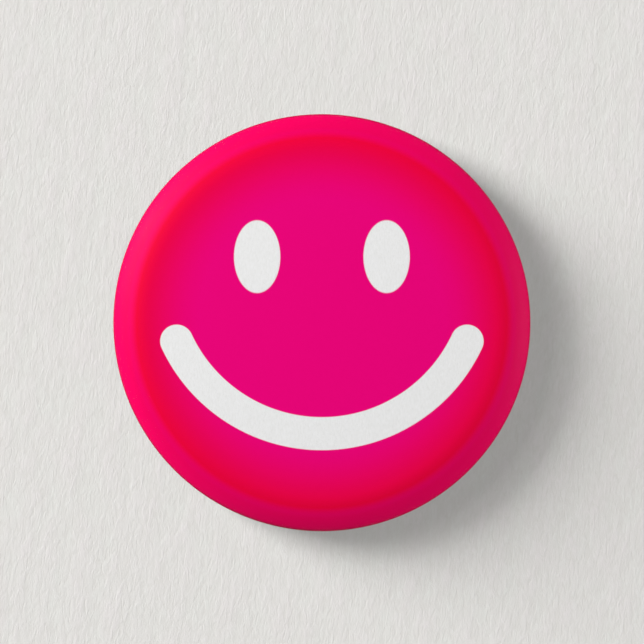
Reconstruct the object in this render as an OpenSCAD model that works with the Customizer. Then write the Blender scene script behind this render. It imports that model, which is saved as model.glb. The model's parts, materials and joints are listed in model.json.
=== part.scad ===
// Pin-back button badge with a pressed front shell and a spring wire pin
//
// The badge lies on its back: the printed face looks along +Z, +X is to the
// right and +Y is up on the printed face. The origin is the centre of the
// rest plane at the back. A printed paper disc and a clear film are stretched
// over the shell and tucked in by the back ring, the collet. One bent spring
// wire sits in the collet's channel: one end is the pin, the other its catch.

/* [Badge] */
// Overall diameter across the rim
badge_d = 32; // [29:0.5:35]
// Overall thickness from the rest plane to the top of the dome
badge_h = 5; // [4.8:0.1:6]
// Radius of the shallow dome on the face
dome_r = 220; // [150:10:300]

/* [Front layers] */
// Thickness of the clear film over the print
film_t = 0.05; // [0.04:0.01:0.08]
// Thickness of the printed paper disc
paper_t = 0.1; // [0.06:0.01:0.12]
// Thickness of the pressed front shell
shell_t = 0.25; // [0.15:0.05:0.3]
// Clearance between pieces that lie on each other
layer_gap = 0.01; // [0.01:0.005:0.02]

/* [Rim] */
// Distance from the rim to where the dome runs into the shoulder
shoulder_w = 2.8; // [2.6:0.1:3.2]
// Radius of the shoulder between dome and rim
shoulder_r = 4; // [3.8:0.1:4.5]
// Radius of the tight bend at the top of the rim
rim_r = 1; // [0.9:0.1:1.3]
// Radius of the bend at the bottom of the rim
foot_r = 0.8; // [0.75:0.05:0.85]
// Width of the flat ring that the badge rests on
rest_w = 0.5; // [0.4:0.1:0.6]
// Radius of the curl that turns the edge inward and up
curl_r = 0.7; // [0.6:0.05:0.8]
// How far round its curl the shell's own edge reaches, in degrees
shell_edge_turn = 40; // [20:5:50]
// Height at which the tucked film and paper end
tuck_h = 1.5; // [1.3:0.1:1.6]

/* [Collet] */
// Thickness of the collet's sheet
collet_t = 0.3; // [0.25:0.05:0.3]
// Distance of the collet's back face behind the rest plane
collet_inset = 0.15; // [0.1:0.05:0.2]
// Distance from the badge's rim to the edge of the opening
opening_inset = 3.5; // [3.5:0.1:4]
// Height of the turned-up lip around the opening
lip_h = 0.75; // [0.7:0.05:0.8]
// How far the flared top edge stands out from the collet's wall
flare_w = 0.9; // [0.5:0.1:1]

/* [Pin wire] */
// Diameter of the spring wire
wire_d = 0.8; // [0.7:0.05:0.8]
// Height of the pin's axis above the rest plane
pin_z = 1.5; // [1.5:0.05:1.8]
// How far above the badge's centre the pin crosses
pin_y = 2.5; // [2:0.5:4]
// Distance of the pin's root and of its point from the edge of the opening
pin_inset = 1.9; // [1.7:0.1:3]
// Length of the ground point
point_l = 3.2; // [3:0.1:4]
// Clearance between the pin and the wire at its root
root_gap = 0.05; // [0.03:0.01:0.1]
// Radius of the bends where the wire leaves the channel, on its centre line
bend_r = 1.5; // [1.2:0.1:1.8]
// Length along the channel over which the wire climbs to the pin's height
climb_l = 4.5; // [3:0.5:6]
// Distance between the pin's axis and the catch's centre line around it
catch_r = 0.95; // [0.9:0.01:1]
// How far the catch turns around the pin, in degrees
catch_turn = 80; // [60:5:80]
// Distance of the catch's end from the edge of the opening
catch_inset = 4.5; // [4:0.1:5]
// Length along the pin over which the catch makes its turn
catch_run = 1.6; // [1.4:0.1:2]

/* [Hidden] */
$fn = 96;

badge_r = badge_d / 2;
wire_r = wire_d / 2;
paper_depth = film_t + layer_gap;
shell_depth = paper_depth + paper_t + layer_gap;

// Steps along each arc of the sheet profiles, the same in every layer
dome_steps = 6;
shoulder_steps = 8;
rim_steps = 6;
curl_steps = 8;

// Centres of the front profile's arcs, from the axis outward and round the rim
dome_slope = asin((badge_r - shoulder_w) / dome_r);
dome_c = [0, badge_h - dome_r];
shoulder_c = dome_c + (dome_r - shoulder_r) * [sin(dome_slope), cos(dome_slope)];
rim_slope = asin((badge_r - rim_r - shoulder_c[0]) / (shoulder_r - rim_r));
rim_c = shoulder_c + (shoulder_r - rim_r) * [sin(rim_slope), cos(rim_slope)];
foot_c = [badge_r - foot_r, foot_r];
curl_c = [foot_c[0] - rest_w, curl_r];
tuck_r = curl_c[0] - curl_r;

// The collet's strip, on its centre line
opening_r = badge_r - opening_inset;
collet_wall_r = tuck_r - layer_gap - collet_t / 2;
collet_back_z = collet_inset + collet_t / 2;
collet_lip_r = opening_r + collet_t / 2;
collet_bend_r = 0.3;
lip_bend_r = 0.25;
flare_clearance = 0.2;
flare_z = tuck_h + flare_clearance + collet_t / 2;

// The wire's route, on its centre line
channel_r = collet_wall_r - collet_t / 2 - layer_gap - wire_r;
channel_z = collet_inset + collet_t + layer_gap + wire_r;
pin_reach = opening_r - pin_inset;
catch_x = opening_r - catch_inset;
catch_y = pin_y + catch_r;
bend_centre_r = channel_r - bend_r;
root_angle = 180 - asin((pin_y - bend_r) / bend_centre_r);
catch_angle = asin((catch_y - bend_r) / bend_centre_r);
climb_angle = climb_l / channel_r * 180 / PI;
wire_sides = 16;
bend_steps = 10;
channel_steps = 64;
// Angles of the rings that round off a wire's end
dome_rings = [75, 50, 25];

// The pin: a straight shank and a ground point
shank_start_x = wire_r + root_gap - pin_reach;
shank_l = pin_reach - point_l - shank_start_x;
tip_r = 0.05;

// An arc about c, its angles measured clockwise from straight up
function arc(c, r, from, to, steps) = [
    for (i = [0:steps])
        let (a = from + (to - from) * i / steps)
        c + r * [sin(a), cos(a)]
];

function reversed(list) = [for (i = [len(list) - 1:-1:0]) list[i]];

// The front's profile at a depth below the outer surface, from the axis
// round the rim to the given angle of the curl
function front_profile(depth, curl_to) = concat(
    arc(dome_c, dome_r - depth, 0, dome_slope, dome_steps),
    arc(shoulder_c, shoulder_r - depth, dome_slope, rim_slope, shoulder_steps),
    arc(rim_c, rim_r - depth, rim_slope, 90, rim_steps),
    arc(foot_c, foot_r - depth, 90, 180, curl_steps),
    arc(curl_c, curl_r - depth, 180, curl_to, curl_steps)
);

// One sheet of the front. A tucked sheet goes on up the collet's wall
module front_layer(depth, thickness, curl_to, tucked) {
    below = depth + thickness;
    tuck = tucked ? [[tuck_r + depth, tuck_h], [tuck_r + below, tuck_h]] : [];
    rotate_extrude()
        polygon(concat(front_profile(depth, curl_to), tuck, reversed(front_profile(below, curl_to))));
}

module clear_film() {
    color([0.93, 0.94, 0.95, 0.5])
        front_layer(0, film_t, 270, true);
}

module printed_insert() {
    color([0.88, 0.02, 0.42])
        front_layer(paper_depth, paper_t, 270, true);
}

module front_shell() {
    color("silver")
        front_layer(shell_depth, shell_t, 180 + shell_edge_turn, false);
}

// The collet's strip at a distance outside its centre line, from the flared
// top edge down the wall and inward along the back to the lip
function collet_side(out) = concat(
    [[collet_wall_r + flare_w, flare_z - out]],
    arc([collet_wall_r + collet_bend_r, flare_z - collet_bend_r], collet_bend_r - out, 0, -90, curl_steps),
    arc([collet_wall_r - collet_bend_r, collet_back_z + collet_bend_r], collet_bend_r + out, 90, 180, curl_steps),
    arc([collet_lip_r + lip_bend_r, collet_back_z + lip_bend_r], lip_bend_r + out, 180, 270, curl_steps),
    [[collet_lip_r - out, lip_h]]
);

module back_collet() {
    color("lightgray")
        rotate_extrude()
            polygon(concat(collet_side(collet_t / 2), reversed(collet_side(-collet_t / 2))));
}

// A level bend of the wire about a centre at the pin's height
function wire_bend(c, from, to) = [
    for (i = [1:bend_steps])
        let (a = from + (to - from) * i / bend_steps)
        [c[0] + bend_r * cos(a), c[1] + bend_r * sin(a), pin_z]
];

// Height of the wire in the channel, at an angle away from the nearer end
function channel_height(away) =
    let (s = min(away / climb_angle, 1))
    pin_z - (pin_z - channel_z) * s * s * (3 - 2 * s);

// The wire's round in the channel, from the pin's root past the bottom
function channel_path() =
    let (sweep = 360 + catch_angle - root_angle)
    [
        for (i = [1:channel_steps])
            let (a = sweep * i / channel_steps)
            [
                channel_r * cos(root_angle + a),
                channel_r * sin(root_angle + a),
                channel_height(min(a, sweep - a))
            ]
    ];

// The catch: the wire turns from along the pin to around and under it
function catch_path() = [
    for (i = [0:bend_steps])
        let (u = 90 * i / bend_steps, turn = catch_turn * (1 - cos(u)))
        [
            catch_x + catch_run * (1 - sin(u)),
            pin_y + catch_r * cos(turn),
            pin_z - catch_r * sin(turn)
        ]
];

function wire_path() = concat(
    [[-pin_reach, pin_y, pin_z], [bend_centre_r * cos(root_angle), pin_y, pin_z]],
    wire_bend(bend_centre_r * [cos(root_angle), sin(root_angle)], 90, root_angle),
    channel_path(),
    wire_bend(bend_centre_r * [cos(catch_angle), sin(catch_angle)], catch_angle, 90),
    catch_path()
);

function unit(v) = v / norm(v);

// Direction of a path at one of its points
function heading(path, i) = unit(path[min(i + 1, len(path) - 1)] - path[max(i - 1, 0)]);

// A ring of points around c, square to a heading that is never upright
function ring(c, along, r) =
    let (side = unit(cross([0, 0, 1], along)), other = cross(along, side))
    [for (k = [0:wire_sides - 1]) c + r * (cos(360 * k / wire_sides) * side + sin(360 * k / wire_sides) * other)];

// A round wire along a path, with a rounded end at each end of it
module wire_along(path, r) {
    last = len(path) - 1;
    first_way = heading(path, 0);
    last_way = heading(path, last);
    rings = concat(
        [for (a = dome_rings) ring(path[0] - r * sin(a) * first_way, first_way, r * cos(a))],
        [for (i = [0:last]) ring(path[i], heading(path, i), r)],
        [for (a = reversed(dome_rings)) ring(path[last] + r * sin(a) * last_way, last_way, r * cos(a))]
    );
    sides = [
        for (i = [0:len(rings) - 2], k = [0:wire_sides - 1])
            let (a = i * wire_sides + k, b = i * wire_sides + (k + 1) % wire_sides)
            each [[a, a + wire_sides, b + wire_sides], [a, b + wire_sides, b]]
    ];
    end = (len(rings) - 1) * wire_sides;
    caps = [
        [for (k = [0:wire_sides - 1]) k],
        [for (k = [wire_sides - 1:-1:0]) end + k]
    ];
    polyhedron([for (points = rings) each points], concat(sides, caps));
}

module spring_wire() {
    color("gainsboro")
        wire_along(wire_path(), wire_r);
}

module pin_needle() {
    color("gainsboro")
        translate([shank_start_x, pin_y, pin_z])
            rotate([0, 90, 0]) {
                cylinder(r = wire_r, h = shank_l);
                translate([0, 0, shank_l])
                    cylinder(r1 = wire_r, r2 = tip_r, h = point_l);
            }
}

clear_film();
printed_insert();
front_shell();
back_collet();
spring_wire();
pin_needle();
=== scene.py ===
"""The looks of a pin-back button badge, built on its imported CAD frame.

The badge lies on its back with its printed face along +Z. Every length is in
metres. The sheet profiles and the wire's route follow the CAD's own rules, in
finer steps, so each visible piece lies where its CAD solid does.
"""

import json
import math
import random

import bpy
import numpy as np
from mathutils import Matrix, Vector


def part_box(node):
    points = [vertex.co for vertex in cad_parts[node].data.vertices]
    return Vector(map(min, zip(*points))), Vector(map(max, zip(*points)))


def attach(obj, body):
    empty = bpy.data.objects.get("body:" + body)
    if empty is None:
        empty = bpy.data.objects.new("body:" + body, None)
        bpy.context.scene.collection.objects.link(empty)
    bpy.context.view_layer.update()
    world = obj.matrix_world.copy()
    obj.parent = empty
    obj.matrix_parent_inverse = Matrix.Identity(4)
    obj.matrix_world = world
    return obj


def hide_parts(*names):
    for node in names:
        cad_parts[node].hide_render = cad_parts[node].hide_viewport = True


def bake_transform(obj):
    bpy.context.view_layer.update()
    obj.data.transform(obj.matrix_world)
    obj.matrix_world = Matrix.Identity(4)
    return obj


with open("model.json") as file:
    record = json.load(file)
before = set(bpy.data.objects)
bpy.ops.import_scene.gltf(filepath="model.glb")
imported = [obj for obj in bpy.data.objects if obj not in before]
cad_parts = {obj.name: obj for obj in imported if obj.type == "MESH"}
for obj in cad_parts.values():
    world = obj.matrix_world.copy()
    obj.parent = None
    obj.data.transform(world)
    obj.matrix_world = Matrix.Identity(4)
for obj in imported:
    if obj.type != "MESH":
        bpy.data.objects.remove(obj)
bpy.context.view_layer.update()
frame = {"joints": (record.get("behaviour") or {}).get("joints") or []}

MM = 0.001

# ---------------------------------------------------------------- dimensions

_, badge_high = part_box("clear_film")
BADGE_R = badge_high.x
BADGE_H = badge_high.z

FILM_T = 0.05 * MM
PAPER_T = 0.1 * MM
SHELL_T = 0.25 * MM
LAYER_GAP = 0.01 * MM
PAPER_DEPTH = FILM_T + LAYER_GAP
SHELL_DEPTH = PAPER_DEPTH + PAPER_T + LAYER_GAP

DOME_R = 220 * MM
SHOULDER_W = 2.8 * MM
SHOULDER_R = 4 * MM
RIM_R = 1 * MM
FOOT_R = 0.8 * MM
REST_W = 0.5 * MM
CURL_R = 0.7 * MM
SHELL_EDGE_TURN = 40
TUCK_H = 1.5 * MM

collet_low, collet_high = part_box("back_collet")
COLLET_T = 0.3 * MM
COLLET_BEND_R = 0.3 * MM
LIP_BEND_R = 0.25 * MM
LIP_H = 0.75 * MM
OPENING_R = BADGE_R - 3.5 * MM
FLARE_R = collet_high.x
FLARE_Z = collet_high.z - COLLET_T / 2
COLLET_BACK_Z = collet_low.z + COLLET_T / 2

needle_low, needle_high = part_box("pin_needle")
hinge = Vector(frame["joints"][0]["pos_m"])
WIRE_R = (needle_high.z - needle_low.z) / 2
POINT_L = 3.2 * MM
BEND_R = 1.5 * MM
CLIMB_L = 4.5 * MM
CATCH_R = 0.95 * MM
CATCH_TURN = math.radians(80)
CATCH_RUN = 1.6 * MM
CATCH_X = OPENING_R - 4.5 * MM
# Length of wire on each side of the hinge point that flexes as the pin opens
FLEX_HALF = 0.9 * MM


def linear(*rgb):
    """An sRGB colour of 0 to 255 as linear RGBA."""
    shares = [c / 255 for c in rgb]
    return (*[s / 12.92 if s <= 0.04045 else ((s + 0.055) / 1.055) ** 2.4 for s in shares], 1.0)


# -------------------------------------------------------------------- camera

# The badge's width as a share of the picture's
FRAME_SHARE = 417 / 644
LENS_MM = 150
SENSOR_MM = 36
# Height of the badge's widest part
RIM_Z = 2 * MM
# How far the badge's centre is from the picture's, as shares of its width
SHIFT_RIGHT, SHIFT_DOWN = -0.0002, 0.0011


def make_camera():
    """Looks straight down on the face, with +Y up in the picture."""
    data = bpy.data.cameras.new("camera")
    data.lens = LENS_MM
    data.sensor_width = SENSOR_MM
    data.shift_x, data.shift_y = -SHIFT_RIGHT, SHIFT_DOWN
    data.clip_start = 5 * MM
    data.clip_end = 5.0
    camera = bpy.data.objects.new("camera", data)
    bpy.context.scene.collection.objects.link(camera)
    frame_width = 2 * BADGE_R / FRAME_SHARE
    camera.location = (0, 0, RIM_Z + frame_width * LENS_MM / SENSOR_MM)
    bpy.context.scene.camera = camera


make_camera()

# ----------------------------------------------------------- node materials


class Shader:
    """A Principled material, with short ways to add nodes to it."""

    # The Mix node's colour sockets
    MIX_A, MIX_B, MIX_OUT = 6, 7, 2

    def __init__(self, name, **inputs):
        self.material = bpy.data.materials.new(name)
        self.material.use_nodes = True
        self.tree = self.material.node_tree
        self.bsdf = self.tree.nodes["Principled BSDF"]
        for key, value in inputs.items():
            self.bsdf.inputs[key.replace("_", " ")].default_value = value

    def add(self, kind, *values, **settings):
        """A new node with its first sockets filled and its settings made."""
        node = self.tree.nodes.new("ShaderNode" + kind)
        for key, setting in settings.items():
            setattr(node, key, setting)
        for socket, value in zip(node.inputs, values):
            self.plug(socket, value)
        return node

    def plug(self, socket, value):
        if isinstance(value, bpy.types.NodeSocket):
            self.tree.links.new(value, socket)
        else:
            socket.default_value = value

    def set(self, key, value):
        self.plug(self.bsdf.inputs[key], value)

    def place(self):
        """The surface point in the badge's own frame."""
        return self.add("TexCoord").outputs["Object"]

    def math(self, operation, *values, clamp=False):
        return self.add("Math", *values, operation=operation, use_clamp=clamp).outputs[0]

    def split(self, vector):
        return self.add("SeparateXYZ", vector).outputs

    def join(self, x, y, z):
        return self.add("CombineXYZ", x, y, z).outputs[0]

    def scaled(self, vector, x, y, z):
        return self.add("VectorMath", vector, (x, y, z), operation="MULTIPLY").outputs[0]

    def noise(self, vector, size, detail, roughness=0.5, distortion=0.0):
        """Noise of 0 to 1 whose features are about size long."""
        node = self.add("TexNoise")
        self.plug(node.inputs["Vector"], vector)
        node.inputs["Scale"].default_value = 1 / size
        node.inputs["Detail"].default_value = detail
        node.inputs["Roughness"].default_value = roughness
        node.inputs["Distortion"].default_value = distortion
        return node.outputs["Fac"]

    def remap(self, value, low, high, to_low, to_high):
        return self.add("MapRange", value, low, high, to_low, to_high).outputs[0]

    def ramp(self, value, stops):
        node = self.add("ValToRGB", value)
        elements = node.color_ramp.elements
        while len(elements) < len(stops):
            elements.new(1.0)
        for element, (position, colour) in zip(elements, stops):
            element.position = position
            element.color = colour
        return node.outputs["Color"]

    def mix(self, share, a, b):
        node = self.add("Mix", share, data_type="RGBA")
        self.plug(node.inputs[self.MIX_A], a)
        self.plug(node.inputs[self.MIX_B], b)
        return node.outputs[self.MIX_OUT]

    def bump(self, height, distance, strength):
        node = self.add("Bump")
        node.inputs["Distance"].default_value = distance
        node.inputs["Strength"].default_value = strength
        self.plug(node.inputs["Height"], height)
        self.set("Normal", node.outputs["Normal"])


# How bare paper looks in this light, and its albedo
PAPER_LOOK = linear(227, 227, 226)
PAPER_ALBEDO = 0.8


def ink(*rgb):
    """The albedo of an ink that looks like this sRGB colour in this light."""
    return (*[PAPER_ALBEDO * c / look for c, look in zip(linear(*rgb)[:3], PAPER_LOOK)], 1.0)


# The print below this height is on the side wall or turned under, and takes the darkest edge ink,
# which is painted shade
WALL_Z = 1 * MM
# The creases of the turned-under edge fade out at this height
CREASE_Z = 0.6 * MM
# Height of a crease, against the print's faint ripples
CREASE_TO_RIPPLE = 16.0
# The face's background print, whose last stops are painted shade that darkens the rim edge and side
# wall: how far out, as a share of the badge's radius, and the ink's sRGB look
BACKGROUND_AND_EDGE_SHADE = (
    (0.0, 227, 0, 116),
    (0.585, 227, 0, 116),
    (0.65, 227, 0, 110),
    (0.7, 227, 0, 101),
    (0.745, 227, 0, 90),
    (0.793, 226, 0, 77),
    (0.841, 227, 0, 63),
    (0.877, 226, 0, 53),
    (0.886, 228, 0, 65),
    (0.9, 226, 0, 83),
    (0.912, 225, 0, 89),
    (0.93, 226, 0, 84),
    (0.96, 228, 0, 86),
    (0.982, 228, 0, 85),
    # Painted shade: the ink darkens towards the outer edge and down the side wall
    (0.989, 208, 0, 77),
    (0.994, 186, 0, 69),
)
EYE_X = 4.9 * MM
EYE_Y = 5.0 * MM
EYE_HALF_W = 1.75 * MM
EYE_HALF_H = 2.75 * MM
SMILE_HALF_W = 11.0 * MM
SMILE_END_Y = -1.4 * MM
SMILE_LOW_Y = -8.4 * MM
SMILE_T = 2.5 * MM
INK_EDGE = 0.06 * MM


def face_mask(shader, place):
    """1 on the happy face, 0 on its background: two oval eyes and a round-ended arc."""
    x, y, _ = shader.split(place)
    side_x = shader.math("ABSOLUTE", x)

    eye_x = shader.math("DIVIDE", shader.math("SUBTRACT", side_x, EYE_X), EYE_HALF_W)
    eye_y = shader.math("DIVIDE", shader.math("SUBTRACT", y, EYE_Y), EYE_HALF_H)
    eye_reach = distance(shader, eye_x, eye_y)
    eye = shader.math("MULTIPLY", shader.math("SUBTRACT", 1.0, eye_reach), EYE_HALF_W)

    drop = SMILE_END_Y - SMILE_LOW_Y
    radius = (SMILE_HALF_W**2 + drop**2) / (2 * drop)
    centre_y = SMILE_LOW_Y + radius
    below = shader.math("SUBTRACT", centre_y, y)
    off_arc = shader.math("ABSOLUTE", shader.math("SUBTRACT", distance(shader, x, below), radius))
    # Past the arc's end, the distance to its end point counts instead
    past_end = shader.math(
        "GREATER_THAN",
        shader.math("MULTIPLY", side_x, (centre_y - SMILE_END_Y) / SMILE_HALF_W),
        below,
    )
    to_end = distance(
        shader,
        shader.math("SUBTRACT", side_x, SMILE_HALF_W),
        shader.math("SUBTRACT", y, SMILE_END_Y),
    )
    off_smile = shader.math(
        "ADD",
        shader.math("MULTIPLY", past_end, to_end),
        shader.math("MULTIPLY", shader.math("SUBTRACT", 1.0, past_end), off_arc),
    )
    smile = shader.math("SUBTRACT", SMILE_T / 2, off_smile)

    inside = shader.math("MAXIMUM", eye, smile)
    return shader.math("ADD", shader.math("DIVIDE", inside, INK_EDGE), 0.5, clamp=True)


def distance(shader, x, y):
    squares = [shader.math("POWER", side, 2.0) for side in (x, y)]
    return shader.math("SQRT", shader.math("ADD", *squares))


def print_material():
    """Inks on coated paper, under the film's satin gloss, with painted shade darkening the edge and
    a painted highlight on the crease ridges.
    """
    shader = Shader("print_inks_and_painted_light", Specular_IOR_Level=0.02)
    place = shader.place()
    x, y, z = shader.split(place)
    radius = shader.math("DIVIDE", distance(shader, x, y), BADGE_R)
    # The side wall's darkened ink, which is painted shade, goes on under the badge
    reach = shader.math("MAXIMUM", radius, shader.math("LESS_THAN", z, WALL_Z))
    background = shader.ramp(reach, [(share, ink(*rgb)) for share, *rgb in BACKGROUND_AND_EDGE_SHADE])
    mottle = shader.noise(place, 0.16 * MM, detail=4.0, roughness=0.7)
    inks_and_painted_light = shader.mix(shader.remap(mottle, 0.35, 0.75, 0.0, 0.1), background, ink(205, 0, 92))
    # Creases cross the edge that is turned under, and their ridges are painted lighter, a painted
    # highlight
    rim_place = shader.join(shader.math("DIVIDE", x, radius), shader.math("DIVIDE", y, radius), 0.0)
    creases = shader.math(
        "MULTIPLY",
        shader.remap(shader.noise(rim_place, 0.36 * MM, detail=2.0), 0.5, 0.72, 0.0, 1.0),
        shader.remap(z, 0.1 * MM, CREASE_Z, 1.0, 0.0),
    )
    # Painted highlight: a lighter pink on the crease ridges
    inks_and_painted_light = shader.mix(shader.math("MULTIPLY", creases, 0.2), inks_and_painted_light, ink(243, 150, 190))
    along_fibres = shader.scaled(place, 1.0, 0.35, 1.0)
    fibres = shader.noise(along_fibres, 0.12 * MM, detail=5.0, roughness=0.6)
    whiter = shader.remap(fibres, 0.3, 0.7, 0.0, 1.0)
    paper = shader.mix(whiter, ink(222, 222, 220), ink(231, 231, 230))
    shader.set("Base Color", shader.mix(face_mask(shader, place), inks_and_painted_light, paper))
    smears = shader.noise(place, 3 * MM, detail=5.0, roughness=0.6)
    shader.set("Roughness", shader.remap(smears, 0.3, 0.7, 0.5, 0.6))
    ripples = shader.noise(place, 0.5 * MM, detail=2.0)
    relief = shader.math("ADD", ripples, shader.math("MULTIPLY", creases, CREASE_TO_RIPPLE))
    shader.bump(relief, 0.003 * MM, 0.5)
    return shader.material


def film_material():
    """Clear polyester film with faint handling scuffs."""
    shader = Shader("clear_polyester", Alpha=0.016, IOR=1.5, Base_Color=(0.0, 0.0, 0.0, 1.0))
    place = shader.place()
    along_scuffs = shader.scaled(place, 1.0, 0.06, 1.0)
    scuffs = shader.noise(along_scuffs, 0.15 * MM, detail=4.0, roughness=0.7)
    shader.set("Roughness", shader.remap(scuffs, 0.4, 0.8, 0.4, 0.5))
    shader.bump(scuffs, 0.001 * MM, 0.5)
    return shader.material


def turning_marks(shader, place):
    """Fine marks that run round the badge's axis."""
    x, y, z = shader.split(place)
    profile = shader.join(distance(shader, x, y), z, 0.0)
    return shader.noise(profile, 0.05 * MM, detail=3.0, roughness=0.7)


def tin_material(name, tone, turned):
    """Satin tinplate with turning or rolling marks, faint stains and a fine spangle."""
    shader = Shader(name, Metallic=1.0)
    place = shader.place()
    if turned:
        marks = turning_marks(shader, place)
    else:
        along_marks = shader.scaled(place, 1.0, 0.02, 1.0)
        marks = shader.noise(along_marks, 0.09 * MM, detail=4.0, roughness=0.75)
    stains = shader.noise(place, 4 * MM, detail=5.0, roughness=0.6, distortion=0.6)
    spangle = shader.noise(place, 0.5 * MM, detail=1.0)
    bright = linear(*tone)
    dull = linear(*[0.8 * c for c in tone])
    warm = linear(tone[0] * 0.93, tone[1] * 0.89, tone[2] * 0.81)
    metal = shader.mix(shader.remap(marks, 0.3, 0.7, 0.0, 0.7), bright, dull)
    shader.set("Base Color", shader.mix(shader.remap(stains, 0.45, 0.75, 0.0, 0.5), metal, warm))
    marks_rough = shader.remap(marks, 0.3, 0.7, 0.24, 0.34)
    spangle_rough = shader.remap(spangle, 0.3, 0.7, 0.0, 0.04)
    shader.set("Roughness", shader.math("ADD", marks_rough, spangle_rough))
    shader.bump(marks, 0.004 * MM, 0.35)
    return shader.material


def wire_material(name, along_x):
    """Plated spring wire with draw marks along it."""
    shader = Shader(name, Metallic=1.0)
    place = shader.place()
    if along_x:
        along_marks = shader.scaled(place, 0.02, 1.0, 1.0)
        marks = shader.noise(along_marks, 0.05 * MM, detail=3.0, roughness=0.7)
    else:
        marks = turning_marks(shader, place)
    pits = shader.noise(place, 0.25 * MM, detail=4.0, roughness=0.7)
    darker = shader.remap(marks, 0.3, 0.7, 0.0, 1.0)
    plated = shader.mix(darker, linear(214, 213, 210), linear(170, 169, 167))
    pitted = shader.remap(pits, 0.58, 0.72, 0.0, 0.6)
    shader.set("Base Color", shader.mix(pitted, plated, linear(120, 114, 106)))
    shader.set("Roughness", shader.remap(pits, 0.3, 0.75, 0.18, 0.42))
    shader.bump(marks, 0.004 * MM, 0.4)
    return shader.material


# -------------------------------------------------------------------- meshes


def finish_mesh(name, points, faces, material, sharp_degrees=35):
    """A smooth-shaded object, with an edge kept sharp where its faces turn more than the angle."""
    mesh = bpy.data.meshes.new(name)
    mesh.from_pydata([tuple(p) for p in points], [], faces)
    mesh.validate()
    mesh.shade_smooth()
    mesh.set_sharp_from_angle(angle=math.radians(sharp_degrees))
    mesh.materials.append(material)
    piece = bpy.data.objects.new(name, mesh)
    bpy.context.scene.collection.objects.link(piece)
    return piece


class Station:
    """A point of a sheet's outline: its place, its way outward and its share of the pleats."""

    def __init__(self, r, z, out_r, out_z, pleated=0.0):
        self.r, self.z = r, z
        self.out_r, self.out_z = out_r, out_z
        self.pleated = pleated


def arc(centre, radius, start, end, steps, pleats=lambda angle: 0.0):
    """Stations along an arc, its angles in degrees clockwise from straight up."""
    made = []
    for i in range(steps + 1):
        angle = start + (end - start) * i / steps
        out_r, out_z = math.sin(math.radians(angle)), math.cos(math.radians(angle))
        r, z = centre[0] + radius * out_r, centre[1] + radius * out_z
        made.append(Station(r, z, out_r, out_z, pleats(angle)))
    return made


# A station this close to the axis becomes one point
ON_AXIS = 1e-7


def lathe(name, outline, segments, material, lift=None):
    """A closed solid of revolution about Z.

    The outline runs clockwise, and lift gives the pleats' height at each angle.
    """
    turns = np.arange(segments) * 2 * math.pi / segments
    heights = np.zeros(segments) if lift is None else lift(turns)
    points, rows = [], []
    for station in outline:
        if station.r < ON_AXIS:
            rows.append([len(points)] * segments)
            points.append((0.0, 0.0, station.z))
            continue
        r = station.r + station.out_r * station.pleated * heights
        z = station.z + station.out_z * station.pleated * heights
        rows.append(list(range(len(points), len(points) + segments)))
        points.extend(zip(r * np.cos(turns), r * np.sin(turns), z))
    faces = []
    for row, following in zip(rows, rows[1:] + rows[:1]):
        for k in range(segments):
            n = (k + 1) % segments
            corners = list(dict.fromkeys((row[k], following[k], following[n], row[n])))
            if len(corners) > 2:
                faces.append(corners)
    return finish_mesh(name, points, faces, material)


# Steps of the front's arcs: the dome, the shoulder, the rim, and both the foot and the curl
FINE_STEPS = (20, 18, 12, 12)
COARSE_STEPS = (10, 6, 4, 6)
COLLET_STEPS = 12
FACE_SEGMENTS = 384
RING_SEGMENTS = 256

dome_slope = math.asin((BADGE_R - SHOULDER_W) / DOME_R)
dome_c = (0, BADGE_H - DOME_R)
shoulder_c = (
    (DOME_R - SHOULDER_R) * math.sin(dome_slope),
    dome_c[1] + (DOME_R - SHOULDER_R) * math.cos(dome_slope),
)
rim_slope = math.asin((BADGE_R - RIM_R - shoulder_c[0]) / (SHOULDER_R - RIM_R))
rim_c = (BADGE_R - RIM_R, shoulder_c[1] + (SHOULDER_R - RIM_R) * math.cos(rim_slope))
foot_c = (BADGE_R - FOOT_R, FOOT_R)
curl_c = (BADGE_R - FOOT_R - REST_W, CURL_R)
TUCK_R = curl_c[0] - CURL_R


def pleat_share(angle):
    """How much of the pleats' height shows at this turn of the foot and the curl."""
    # They start on the foot, are full on the curl and end before the collet
    under, beside = rise(angle, 110, 185), rise(angle, 185, 220)
    return float((0.5 * under + 0.5 * beside) * (1 - rise(angle, 230, 256)))


def rise(value, start, end):
    """0 before start, 1 after end, and a smooth S between them."""
    t = np.clip((value - start) / (end - start), 0, 1)
    return t * t * (3 - 2 * t)


def front_outline(depth, curl_to, tucked, steps):
    """One side of a front sheet, at a depth below the outer surface."""
    dome, shoulder, rim = math.degrees(dome_slope), math.degrees(rim_slope), 90
    made = (
        arc(dome_c, DOME_R - depth, 0, dome, steps[0])
        + arc(shoulder_c, SHOULDER_R - depth, dome, shoulder, steps[1])[1:]
        + arc(rim_c, RIM_R - depth, shoulder, rim, steps[2])[1:]
        + arc(foot_c, FOOT_R - depth, rim, 180, steps[3], pleat_share)
        + arc(curl_c, CURL_R - depth, 180, curl_to, steps[3], pleat_share)
    )
    if tucked:
        made.append(Station(TUCK_R + depth, TUCK_H, -1.0, 0.0))
    return made


# The turn at which the covering leaves its curl and runs straight up inside
TUCK_TURN = 270
PLEATS = 56
PLEAT_H = 0.2 * MM
# How slowly a pleat rises before its step
PLEAT_SWEEP = 1.5
pleat_dice = random.Random(11)
pleat_widths = np.array([pleat_dice.uniform(0.5, 1.5) for _ in range(PLEATS)])
pleat_ends = np.cumsum(pleat_widths) / pleat_widths.sum() * 2 * math.pi
pleat_heights = np.array([pleat_dice.uniform(0.3, 1.0) for _ in range(PLEATS)])


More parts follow.
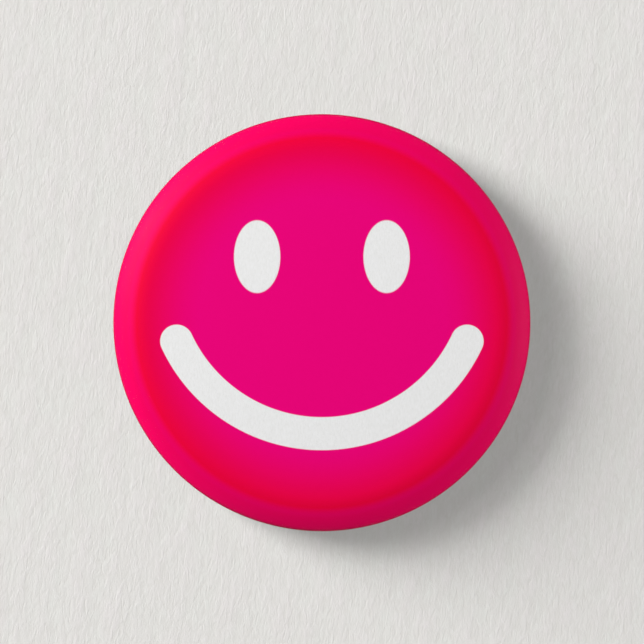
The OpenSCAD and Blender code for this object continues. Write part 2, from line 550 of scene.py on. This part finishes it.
def pleat_lift(turns):
    """Height of the folded covering at each angle: each pleat rises slowly and ends in a step."""
    which = np.searchsorted(pleat_ends, turns, side="right") % PLEATS
    starts = np.concatenate(([0.0], pleat_ends[:-1]))
    along = (turns - starts[which]) / (pleat_ends[which] - starts[which])
    return PLEAT_H * pleat_heights[which] * along**PLEAT_SWEEP


def covering(name, depth, thickness, material):
    """A sheet stretched over the shell, pleated at its curl and tucked in."""
    outer = front_outline(depth, TUCK_TURN, True, FINE_STEPS)
    inner = front_outline(depth + thickness, TUCK_TURN, True, COARSE_STEPS)
    return lathe(name, outer + inner[::-1], FACE_SEGMENTS, material, pleat_lift)


def shell(material):
    """The pressed shell, whose edge ends partway round the curl."""
    curl_to = 180 + SHELL_EDGE_TURN
    outer = front_outline(SHELL_DEPTH, curl_to, False, COARSE_STEPS)
    inner = front_outline(SHELL_DEPTH + SHELL_T, curl_to, False, FINE_STEPS)
    return lathe("pressed_shell", outer + inner[::-1], RING_SEGMENTS, material)


def collet_side(out):
    """One side of the collet's strip, from flare to lip, this far outside its centre line."""
    wall_r = TUCK_R - LAYER_GAP - COLLET_T / 2
    lip_r = OPENING_R + COLLET_T / 2
    flare_c = (wall_r + COLLET_BEND_R, FLARE_Z - COLLET_BEND_R)
    back_c = (wall_r - COLLET_BEND_R, COLLET_BACK_Z + COLLET_BEND_R)
    lip_c = (lip_r + LIP_BEND_R, COLLET_BACK_Z + LIP_BEND_R)
    return (
        [Station(FLARE_R, FLARE_Z - out, 0.0, -1.0)]
        + arc(flare_c, COLLET_BEND_R - out, 0, -90, COLLET_STEPS)
        + arc(back_c, COLLET_BEND_R + out, 90, 180, COLLET_STEPS)
        + arc(lip_c, LIP_BEND_R + out, 180, 270, COLLET_STEPS)
        + [Station(lip_r - out, LIP_H, -1.0, 0.0)]
    )


def collet(material):
    """The pressed back ring that holds the covering in."""
    outline = collet_side(COLLET_T / 2) + collet_side(-COLLET_T / 2)[::-1]
    return lathe("back_collet_ring", outline, RING_SEGMENTS, material)


WIRE_SIDES = 28
BEND_STEPS = 16
CHANNEL_STEPS = 120
END_DOME_ANGLES = (20, 40, 60, 80)

channel_r = TUCK_R - 2 * LAYER_GAP - COLLET_T - WIRE_R
channel_z = collet_low.z + COLLET_T + LAYER_GAP + WIRE_R
bend_centre_r = channel_r - BEND_R
root_angle = math.pi - math.asin((hinge.y - BEND_R) / bend_centre_r)
catch_angle = math.asin((hinge.y + CATCH_R - BEND_R) / bend_centre_r)


def wire_bend(at_angle, start, end):
    """A level quarter bend where the wire leaves the channel."""
    cx, cy = bend_centre_r * math.cos(at_angle), bend_centre_r * math.sin(at_angle)
    turns = np.linspace(start, end, BEND_STEPS + 1)[1:]
    return [Vector((cx + BEND_R * math.cos(a), cy + BEND_R * math.sin(a), hinge.z)) for a in turns]


def channel_path():
    """The wire's round in the channel, from the pin's root past the bottom to the catch."""
    sweep = 2 * math.pi + catch_angle - root_angle
    path = []
    for along in np.linspace(0, sweep, CHANNEL_STEPS + 1)[1:]:
        sunk = rise(min(along, sweep - along) * channel_r, 0, CLIMB_L)
        angle = root_angle + along
        z = hinge.z - (hinge.z - channel_z) * sunk
        path.append(Vector((channel_r * math.cos(angle), channel_r * math.sin(angle), z)))
    return path


def catch_path():
    """The catch: the wire turns from along the pin to round and under it."""
    path = []
    for u in np.linspace(0, math.pi / 2, BEND_STEPS + 1):
        turn = CATCH_TURN * (1 - math.cos(u))
        path.append(
            Vector(
                (
                    CATCH_X + CATCH_RUN * (1 - math.sin(u)),
                    hinge.y + CATCH_R * math.cos(turn),
                    hinge.z - CATCH_R * math.sin(turn),
                )
            )
        )
    return path


def tube(name, path, radii, material, round_end=False):
    """A closed round bar along a path that is never upright."""
    count = len(path)
    ways = [(path[min(i + 1, count - 1)] - path[max(i - 1, 0)]).normalized() for i in range(count)]
    rings = list(zip(path, ways, radii))
    if round_end:
        rings += end_dome(*rings[-1])
    points = []
    for centre, way, radius in rings:
        side = Vector((0, 0, 1)).cross(way).normalized()
        other = way.cross(side)
        for k in range(WIRE_SIDES):
            turn = 2 * math.pi * k / WIRE_SIDES
            points.append(centre + (math.cos(turn) * side + math.sin(turn) * other) * float(radius))
    first_ring = list(range(WIRE_SIDES))
    last_ring = [len(points) - WIRE_SIDES + k for k in range(WIRE_SIDES)]
    faces = [first_ring[::-1], last_ring]
    for ring in range(len(rings) - 1):
        for k in range(WIRE_SIDES):
            a, b = ring * WIRE_SIDES + k, ring * WIRE_SIDES + (k + 1) % WIRE_SIDES
            faces.append([a, b, b + WIRE_SIDES, a + WIRE_SIDES])
    return finish_mesh(name, points, faces, material, sharp_degrees=50)


def end_dome(centre, way, radius):
    """The rings that round off a bar's end, outward from its last full ring."""
    angles = [math.radians(a) for a in END_DOME_ANGLES]
    return [(centre + way * radius * math.sin(a), way, radius * math.cos(a)) for a in angles]


def ring_and_catch(material):
    """The wire from where it stops flexing, round the channel, to the catch's end."""
    start = hinge - Vector((FLEX_HALF, 0, 0))
    bend_start = Vector((bend_centre_r * math.cos(root_angle), hinge.y, hinge.z))
    path = (
        [start, start.lerp(bend_start, 0.5), bend_start]
        + wire_bend(root_angle, math.pi / 2, root_angle)
        + channel_path()
        + wire_bend(catch_angle, catch_angle, math.pi / 2)
        + catch_path()
    )
    return tube("wire_ring_and_catch", path, [WIRE_R] * len(path), material, round_end=True)


def flexing_root(material):
    """The short length of wire that bends as the pin opens."""
    xs = np.linspace(hinge.x - FLEX_HALF, hinge.x + FLEX_HALF, 2 * BEND_STEPS + 1)
    path = [Vector((x, hinge.y, hinge.z)) for x in xs]
    return tube("wire_flex", path, [WIRE_R] * len(path), material)


TIP_R = 0.04 * MM
# 1 would be a straight cone
POINT_FULLNESS = 1.15
POINT_STEPS = 14
SHANK_STEPS = 12


def pin(material):
    """The pin's shank and its ground point, which is slightly full."""
    start_x = hinge.x + FLEX_HALF
    point_x = needle_high.x - POINT_L
    shank = [(x, WIRE_R) for x in np.linspace(start_x, point_x, SHANK_STEPS + 1)]
    point = []
    for t in np.linspace(0, 1, POINT_STEPS + 1)[1:]:
        point.append((point_x + POINT_L * t, TIP_R + (WIRE_R - TIP_R) * (1 - t**POINT_FULLNESS)))
    profile = shank + point
    path = [Vector((x, hinge.y, hinge.z)) for x, _ in profile]
    return tube("pin_shank", path, [r for _, r in profile], material)


# ------------------------------------------------------------------ assembly


def build_badge():
    """Makes every piece, hides the CAD part it stands for and hangs it on its body; the flexing
    wire stays unattached.
    """
    tin = tin_material("tinplate", (196, 195, 192), turned=False)
    collet_tin = tin_material("collet_tinplate", (206, 205, 203), turned=True)
    ring_wire = wire_material("wire_round", along_x=False)
    pin_wire = wire_material("wire_straight", along_x=True)

    film = covering("film_skin", 0, FILM_T, film_material())
    disc = covering("printed_disc", PAPER_DEPTH, PAPER_T, print_material())
    pieces = (
        (film, "clear_film", "film", "badge"),
        (disc, "printed_insert", "print", "badge"),
        (shell(tin), "front_shell", "tinplate", "badge"),
        (collet(collet_tin), "back_collet", "collet_tinplate", "badge"),
        (ring_and_catch(ring_wire), "spring_wire", "pin_wire", "badge"),
        (pin(pin_wire), "pin_needle", "pin_wire", "pin"),
    )
    for piece, node, slot, body in pieces:
        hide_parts(node)
        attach(piece, body)
        # The paper round the badge has no tint and no dark halo in the photo
        piece.visible_diffuse = False

    flex = flexing_root(pin_wire)
    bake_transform(flex)
    return [piece for piece, *_ in pieces] + [flex]


# -------------------------------------------------------------------- studio

SKY_STRENGTH = 0.41
FLOOR_HALF = 3.0
# Sideways lean of the floor's grain, per unit of height in the picture
GRAIN_LEAN = 0.1
# Height of the floor's wide undulation, against its grain
WIDE_TO_GRAIN = 1.2
# Just below the pleats, which hang a little under the CAD's rest plane
FLOOR_Z = -0.11 * MM


def paper_floor_material():
    """Heavy off-white paper with a fine slanting felt grain."""
    shader = Shader("floor_paper", Roughness=0.9, Specular_IOR_Level=0.1)
    x, y, z = shader.split(shader.place())
    leaning_x = shader.math("SUBTRACT", x, shader.math("MULTIPLY", y, GRAIN_LEAN))
    place = shader.join(leaning_x, y, z)
    along_grain = shader.scaled(place, 1.0, 0.3, 1.0)
    grain = shader.noise(along_grain, 0.27 * MM, detail=3.0, roughness=0.6, distortion=0.8)
    along_wide = shader.scaled(place, 1.0, 0.4, 1.0)
    wide = shader.noise(along_wide, 1.6 * MM, detail=3.0)
    height = shader.math("ADD", grain, shader.math("MULTIPLY", wide, WIDE_TO_GRAIN))
    warmer = shader.remap(wide, 0.35, 0.65, 0.0, 1.0)
    tint = shader.mix(warmer, ink(228, 228, 223), ink(230, 226, 224))
    tone = shader.mix(shader.remap(grain, 0.3, 0.7, 0.0, 1.0), ink(222, 220, 215), tint)
    shader.set("Base Color", tone)
    shader.bump(height, 0.06 * MM, 0.55)
    return shader.material


def make_floor():
    corners = ((-1, -1), (1, -1), (1, 1), (-1, 1))
    points = [(x * FLOOR_HALF, y * FLOOR_HALF, FLOOR_Z) for x, y in corners]
    finish_mesh("floor", points, [[0, 1, 2, 3]], paper_floor_material())


def area_light(name, azimuth, elevation, away, width, height, watts):
    """A soft light aimed at the badge. Azimuth is counted from +X towards +Y."""
    data = bpy.data.lights.new(name, "AREA")
    data.shape = "RECTANGLE"
    data.size, data.size_y = width, height
    data.energy = watts
    light = bpy.data.objects.new(name, data)
    a, e = math.radians(azimuth), math.radians(elevation)
    towards = Vector((math.cos(a) * math.cos(e), math.sin(a) * math.cos(e), math.sin(e)))
    light.location = towards * away
    light.rotation_euler = towards.to_track_quat("Z", "Y").to_euler()
    bpy.context.scene.collection.objects.link(light)
    return light


def make_sky():
    """Even white light, dimmer towards the horizon from above and from below."""
    world = bpy.data.worlds.new("studio")
    world.use_nodes = True
    bpy.context.scene.world = world
    nodes, links = world.node_tree.nodes, world.node_tree.links
    split = nodes.new("ShaderNodeSeparateXYZ")
    links.new(nodes.new("ShaderNodeTexCoord").outputs["Generated"], split.inputs[0])
    steepness = nodes.new("ShaderNodeMath")
    steepness.operation = "ABSOLUTE"
    links.new(split.outputs["Z"], steepness.inputs[0])
    ramp = nodes.new("ShaderNodeValToRGB")
    links.new(steepness.outputs[0], ramp.inputs[0])
    low, high = ramp.color_ramp.elements
    low.position, low.color = 0.0, (0.4, 0.4, 0.4, 1.0)
    high.position, high.color = 0.45, (1.0, 1.0, 1.0, 1.0)
    links.new(ramp.outputs["Color"], nodes["Background"].inputs["Color"])
    nodes["Background"].inputs["Strength"].default_value = SKY_STRENGTH


def make_studio(pieces):
    """The floor, sky and lights, with the photo's key light from the upper left."""
    make_floor()
    make_sky()
    area_light("key", azimuth=153, elevation=22.5, away=2.0, width=0.83, height=1.3, watts=51)
    area_light("key_top", azimuth=153, elevation=48, away=1.2, width=0.5, height=0.4, watts=2.0)
    fill = area_light("fill", azimuth=0, elevation=10, away=1.0, width=0.5, height=0.5, watts=6.2)
    # The fill lights the badge alone, so it throws no second shadow on the paper
    lit = bpy.data.collections.new("lit_by_fill")
    for piece in pieces:
        lit.objects.link(piece)
    fill.light_linking.receiver_collection = lit
    bpy.context.scene.view_settings.view_transform = "Standard"


make_studio(build_badge())
